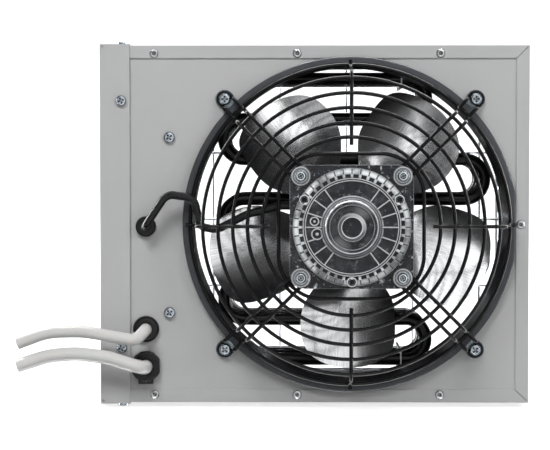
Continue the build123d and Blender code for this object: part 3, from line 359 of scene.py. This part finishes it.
# ---------------------------------------------------------------- finishes
def make_finishes():
    """Every finish, by the name of its material slot in the record, and two for single nodes."""
    grey = (0.440, 0.442, 0.445)
    return {
        "painted_case": surface("powder_coat_grey", grey, 0.46, mottle=0.02, mottle_scale=14,
                                rough_spread=0.04, grain=(1900, 0.00003), edge=(0.9 * MM, 1.22),
                                specular=0.35),
        "coil_tube": surface("black_stove_enamel", (0.0065, 0.0062, 0.0062), 0.18, mottle=0.25,
                             mottle_scale=90, rough_spread=0.05, grain=(500, 0.00002), specular=0.25),
        "header_metal": surface("dull_copper", (0.60, 0.30, 0.16), 0.34, 1.0, mottle=0.25, mottle_scale=70,
                                grain=(700, 0.00003), edge=(0.6 * MM, 1.3)),
        "white_hose": surface("white_hose", (0.60, 0.60, 0.585), 0.38, mottle=0.03, mottle_scale=45,
                              grain=(900, 0.00005), scatter=0.1, specular=0.4),
        "zinc_steel": surface("pressed_zinc_steel", (0.62, 0.64, 0.67), 0.33, 1.0, mottle=0.12,
                              mottle_scale=160, streak=(900, 60, 900), edge=(0.4 * MM, 1.3)),
        "rivet_metal": surface("rivet_aluminium", (0.66, 0.67, 0.68), 0.30, 1.0, mottle=0.15,
                               mottle_scale=500, grain=(3000, 0.00002), edge=(0.3 * MM, 1.2),
                               recess=1.6 * MM),
        "black_rubber": surface("black_rubber", (0.0075, 0.0075, 0.0085), 0.34, mottle=0.25,
                                mottle_scale=140, grain=(1500, 0.00003), edge=(0.8 * MM, 2.0),
                                specular=0.3),
        "black_nylon": surface("black_nylon", (0.0080, 0.0080, 0.0092), 0.28, mottle=0.25, mottle_scale=140,
                               grain=(1400, 0.00003), edge=(0.7 * MM, 2.5), specular=0.3),
        "white_nylon": surface("natural_nylon", (0.72, 0.70, 0.64), 0.45, mottle=0.04, mottle_scale=120,
                               grain=(1500, 0.00003), edge=(0.5 * MM, 1.1), scatter=0.1),
        "wire_sleeve": surface("red_sleeve", (0.42, 0.025, 0.02), 0.38, mottle=0.1, mottle_scale=200),
        "black_moulding": ring_moulding("black_moulding"),
        "black_wire": surface("black_dipped_wire", (0.0045, 0.0045, 0.0052), 0.09, mottle=0.2,
                              mottle_scale=120, rough_spread=0.03, grain=(420, 0.000006), specular=0.2),
        "clear_cover": clear_plastic("clear_moulding"),
        "dark_casting": surface("dark_casting", (0.016, 0.017, 0.020), 0.40, mottle=0.25, mottle_scale=120,
                                grain=(900, 0.00006), edge=(0.7 * MM, 2.0)),
        "core_steel": surface("core_laminations", (0.10, 0.105, 0.115), 0.42, 0.8, mottle=0.2,
                              mottle_scale=200, streak=(40, 2400, 40)),
        "copper_winding": surface("varnished_winding", (0.10, 0.055, 0.035), 0.30, 0.4, mottle=0.3,
                                  mottle_scale=300, streak=(1500, 200, 1500), coat=0.4),
        "bearing_bronze": surface("bearing_bronze", (0.30, 0.20, 0.10), 0.40, 1.0, mottle=0.2,
                                  mottle_scale=400),
        "zinc_wire": surface("zinc_wire", (0.42, 0.43, 0.45), 0.34, 1.0, mottle=0.15, mottle_scale=220,
                             grain=(900, 0.00003)),
        "zinc_screw": surface("bright_zinc", (0.46, 0.51, 0.56), 0.20, 1.0, mottle=0.22, mottle_scale=420,
                              rough_spread=0.05, grain=(1500, 0.00003), edge=(0.3 * MM, 1.45),
                              recess=1.5 * MM),
        "dull_zinc": surface("dull_zinc", (0.20, 0.235, 0.255), 0.24, 1.0, mottle=0.4, mottle_scale=520,
                             rough_spread=0.06, grain=(1500, 0.00004), edge=(0.3 * MM, 2.5)),
        "corner_zinc": corner_zinc("corner_zinc"),
        "black_screw": surface("black_oxide_screw", (0.012, 0.012, 0.013), 0.32, 0.4, mottle=0.25,
                               mottle_scale=500),
        "shaft_steel": surface("ground_steel", (0.60, 0.61, 0.62), 0.22, 1.0, mottle=0.08, mottle_scale=300,
                               streak=(80, 3000, 80)),
        "rotor_steel": surface("rotor_laminations", (0.10, 0.105, 0.115), 0.40, 0.8, mottle=0.2,
                               mottle_scale=240, streak=(60, 2400, 60)),
        "hub_aluminium": surface("turned_aluminium", (0.55, 0.56, 0.58), 0.30, 1.0, mottle=0.1,
                                 mottle_scale=200, streak=(120, 1800, 120), edge=(0.5 * MM, 1.2)),
        "blade_aluminium": brushed_blade("brushed_aluminium"),
    }


# nodes that don't take the finish of their slot, because they look darker than the other zinc pieces
SPECIAL_FINISH = {"motor_corner_screws": "corner_zinc", "motor_corner_washers": "corner_zinc",
                  "guard_washers": "dull_zinc"}


def dress_frame():
    """Gives every CAD node its finish from the record's material slots."""
    finishes = make_finishes()
    for row in frame["record"]["subparts"]:
        mesh = NODES[row["node"]].data
        mesh.materials.clear()
        mesh.materials.append(finishes[SPECIAL_FINISH.get(row["node"], row["material_slot"])])


dress_frame()


# ---------------------------------------------------------------- stage, light and camera
PAPER_GLOW = 0.7  # the paper's own light, which only the camera sees
WORLD_FILL = 0.11  # the surroundings' light on everything that isn't a mirror-like reflection
REFLECTED_BASE = 0.06  # brightness of the dark surroundings in reflections


def sweep_floor():
    """Pale floor that curves up into a backdrop.  Reflections don't show it."""
    g = Graph("studio_paper")
    tone = g.mix(g.ramp(g.noise(3.0, 2.0), 0.3, 0.7), (0.50, 0.50, 0.50, 1), (0.53, 0.53, 0.53, 1))
    seen = g.math("MULTIPLY", g.add("ShaderNodeLightPath").outputs["Is Camera Ray"], PAPER_GLOW)
    shader = g.add("ShaderNodeBsdfPrincipled", {"Base Color": tone, "Roughness": 0.9,
                                               "Emission Color": (1, 1, 1, 1), "Emission Strength": seen})
    paper = g.finish(shader.outputs[0])
    front = -2.2
    back = 2.6
    top = 2.4
    half = 2.6
    bend = 0.5
    steps = 16
    profile = [(front, 0.0)]
    for i in range(steps + 1):
        a = math.radians(90 * i / steps)
        profile.append((back - bend + bend * math.sin(a), bend - bend * math.cos(a)))
    profile.append((back, top))
    mesh = bmesh.new()
    rows = []
    for y, z in profile:
        left = mesh.verts.new((-half, y, FLOOR_Z + z))
        right = mesh.verts.new((half, y, FLOOR_Z + z))
        rows.append((left, right))
    for (a, b), (c, d) in zip(rows, rows[1:]):
        mesh.faces.new((a, b, d, c)).smooth = True
    data = bpy.data.meshes.new("studio_floor")
    mesh.to_mesh(data)
    data.materials.append(paper)
    floor = bpy.data.objects.new("studio_floor", data)
    bpy.context.collection.objects.link(floor)
    floor.visible_glossy = False


def area_light(name, place, aim, size, watts):
    """Soft rectangular lamp that reflections don't show."""
    data = bpy.data.lights.new(name, "AREA")
    data.shape = "RECTANGLE"
    data.size, data.size_y = size
    data.energy = watts
    light = bpy.data.objects.new(name, data)
    light.location = place
    light.rotation_euler = (Vector(aim) - Vector(place)).to_track_quat("-Z", "Y").to_euler()
    light.visible_glossy = False
    bpy.context.collection.objects.link(light)


def off_axis(tilt, turn):
    """Direction tilt degrees away from straight in front of the panel, towards turn degrees round it."""
    t, f = math.radians(tilt), math.radians(turn)
    return (math.sin(t) * math.cos(f), -math.cos(t), math.sin(t) * math.sin(f))


# softboxes that only reflections see: (tilt, turn, half width in degrees, edge in degrees, strength)
SOFTBOXES = [
    (7, 100, 11, 4, 0.55),
    (37, 4, 20, 2, 1.25),
    (38, 72, 22, 3, 1.70),
    (50, 147, 5, 2, 2.40),
    (26, 140, 8, 8, 0.12),
    (47, 214, 6, 3, 2.20),
    (24, 206, 18, 6, 0.50),
    (31, 286, 19, 6, 1.30),
]
# a bright band right round the object, a little behind its panel, that draws a thin line of light along
# each wire: its middle, half width and edge in degrees, and its strength above and below the fan axis
RIM_TILT = 104
RIM_HALF = 5
RIM_EDGE = 3
RIM_ABOVE = 50.0
RIM_BELOW = 24.0


def studio_world():
    """White behind the object, a dim even fill for diffuse light, and softboxes for reflections."""
    world = bpy.data.worlds.new("studio_world")
    world.use_nodes = True
    tree = world.node_tree
    tree.nodes.clear()

    def math_node(operation, a, b=0.0, clamp=False):
        node = tree.nodes.new("ShaderNodeMath")
        node.operation = operation
        node.use_clamp = clamp
        for socket, value in zip(node.inputs, (a, b)):
            if isinstance(value, bpy.types.NodeSocket):
                tree.links.new(value, socket)
            else:
                socket.default_value = value
        return node.outputs[0]

    place = tree.nodes.new("ShaderNodeTexCoord").outputs["Generated"]
    total = REFLECTED_BASE
    for tilt, turn, half, edge, strength in SOFTBOXES:
        dot = tree.nodes.new("ShaderNodeVectorMath")
        dot.operation = "DOT_PRODUCT"
        tree.links.new(place, dot.inputs[0])
        dot.inputs[1].default_value = off_axis(tilt, turn)
        away = math_node("ARCCOSINE", math_node("MINIMUM", dot.outputs["Value"], 0.99999))
        inside = math_node("SUBTRACT", math.radians(half + edge), away)
        mask = math_node("DIVIDE", inside, math.radians(edge), clamp=True)
        total = math_node("ADD", total, math_node("MULTIPLY", mask, strength))
    apart = tree.nodes.new("ShaderNodeSeparateXYZ")
    tree.links.new(place, apart.inputs[0])
    tilt = math_node("ARCCOSINE", math_node("MULTIPLY", apart.outputs[1], -1.0))
    from_rim = math_node("ABSOLUTE", math_node("SUBTRACT", tilt, math.radians(RIM_TILT)))
    rim = math_node("SUBTRACT", math.radians(RIM_HALF + RIM_EDGE), from_rim)
    rim = math_node("DIVIDE", rim, math.radians(RIM_EDGE), clamp=True)
    above = math_node("GREATER_THAN", apart.outputs[2], 0.0)
    level = math_node("ADD", math_node("MULTIPLY", above, RIM_ABOVE - RIM_BELOW), RIM_BELOW)
    total = math_node("ADD", total, math_node("MULTIPLY", rim, level))
    rays = tree.nodes.new("ShaderNodeLightPath")
    glossy = math_node("MULTIPLY", rays.outputs["Is Glossy Ray"], total)
    others = math_node("MULTIPLY", math_node("SUBTRACT", 1.0, rays.outputs["Is Glossy Ray"]), WORLD_FILL)
    strength = math_node("ADD", glossy, others)
    strength = math_node("MAXIMUM", strength, rays.outputs["Is Camera Ray"])
    background = tree.nodes.new("ShaderNodeBackground")
    tree.links.new(strength, background.inputs["Strength"])
    background.inputs["Color"].default_value = (1, 1, 1, 1)
    output = tree.nodes.new("ShaderNodeOutputWorld")
    tree.links.new(background.outputs[0], output.inputs[0])
    bpy.context.scene.world = world


def studio_light():
    """A key and a fill in front, softer lamps above and behind, and the world."""
    area_light("key_light", (-0.5, -1.5, 1.5), (0, -0.1, 0.0), (0.9, 0.7), 32)
    area_light("fill_light", (1.3, -1.5, 0.9), (0, -0.1, 0), (0.7, 0.9), 13)
    area_light("top_light", (0.0, 0.2, 1.6), (0, 0, 0), (1.6, 0.9), 2.5)
    area_light("backdrop_light", (0.0, 1.5, 1.6), (0, 2.5, 0.3), (2.4, 0.4), 25)
    area_light("back_light", (0.9, 1.5, 1.2), (0, -0.05, 0), (0.8, 0.8), 14)
    studio_world()
    bpy.context.scene.view_settings.view_transform = "Standard"


def camera():
    """Photographed nearly square on, from a little above the middle, aimed left of the fan."""
    distance = 1.3
    sensor = 36.0
    view_width = 0.385
    data = bpy.data.cameras.new("photo_camera")
    data.sensor_width = sensor
    data.lens = sensor * distance / view_width
    data.clip_start = 0.05
    data.clip_end = 20
    lens = bpy.data.objects.new("photo_camera", data)
    lens.location = (-0.0357, PANEL_Y - distance, 0.0517)
    aim = Vector((-0.0525, PANEL_Y, -0.0004))
    lens.rotation_euler = (aim - lens.location).to_track_quat("-Z", "Y").to_euler()
    bpy.context.collection.objects.link(lens)
    bpy.context.scene.camera = lens


sweep_floor()
studio_light()
camera()
